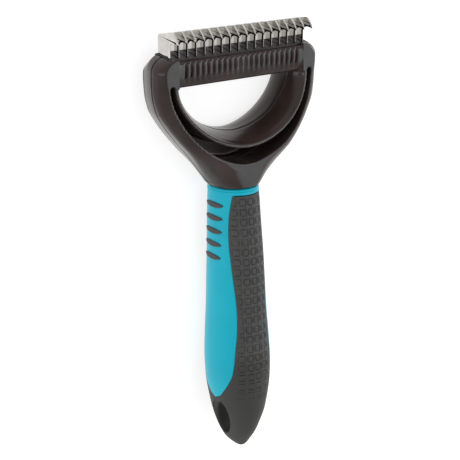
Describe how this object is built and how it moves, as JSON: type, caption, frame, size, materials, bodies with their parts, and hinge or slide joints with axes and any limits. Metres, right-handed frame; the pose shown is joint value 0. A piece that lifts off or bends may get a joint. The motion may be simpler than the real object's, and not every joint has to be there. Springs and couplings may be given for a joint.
{
  "type": "dematting comb",
  "caption": "Pet dematting comb: a row of hooked steel blades across a Y-shaped head with a finger window, on a soft-grip handle with a hang hole.",
  "frame": {"origin": "middle of the tool's outline, on the plane it rests on when it lies on its back", "axes": "+X to the right seen from the front, +Y along the tool from the butt towards the blades, +Z out of the front face, the side the hooks point to"},
  "size_m": [0.087, 0.2, 0.0325],
  "materials": {
    "blade_steel": "mirror-polished stainless steel",
    "rod_steel": "drawn steel rod",
    "head_plastic": "glossy dark brown-grey ABS, satin on the flat face",
    "carrier_plastic": "dark ABS",
    "teal_plastic": "glossy teal ABS",
    "grip_rubber": "matte charcoal thermoplastic rubber with an embossed skin of rounded cells",
    "pad_rubber": "matte charcoal thermoplastic rubber"
  },
  "bodies": {
    "root": {"blade_01": "blade_steel", "blade_02": "blade_steel", "blade_03": "blade_steel", "blade_04": "blade_steel", "blade_05": "blade_steel", "blade_06": "blade_steel", "blade_07": "blade_steel", "blade_08": "blade_steel", "blade_09": "blade_steel", "blade_10": "blade_steel", "blade_11": "blade_steel", "blade_12": "blade_steel", "blade_13": "blade_steel", "blade_14": "blade_steel", "blade_15": "blade_steel", "blade_16": "blade_steel", "blade_17": "blade_steel", "blade_carrier": "carrier_plastic", "blade_rod_front": "rod_steel", "blade_rod_rear": "rod_steel", "grip_overmould": "grip_rubber", "grip_pad_left_1": "pad_rubber", "grip_pad_left_2": "pad_rubber", "grip_pad_left_3": "pad_rubber", "grip_pad_left_4": "pad_rubber", "grip_pad_left_5": "pad_rubber", "grip_pad_right_1": "pad_rubber", "grip_pad_right_2": "pad_rubber", "grip_pad_right_3": "pad_rubber", "grip_pad_right_4": "pad_rubber", "grip_pad_right_5": "pad_rubber", "handle_body": "teal_plastic", "head_front_shell": "head_plastic", "head_rear_shell": "head_plastic"}
  },
  "joints": []
}
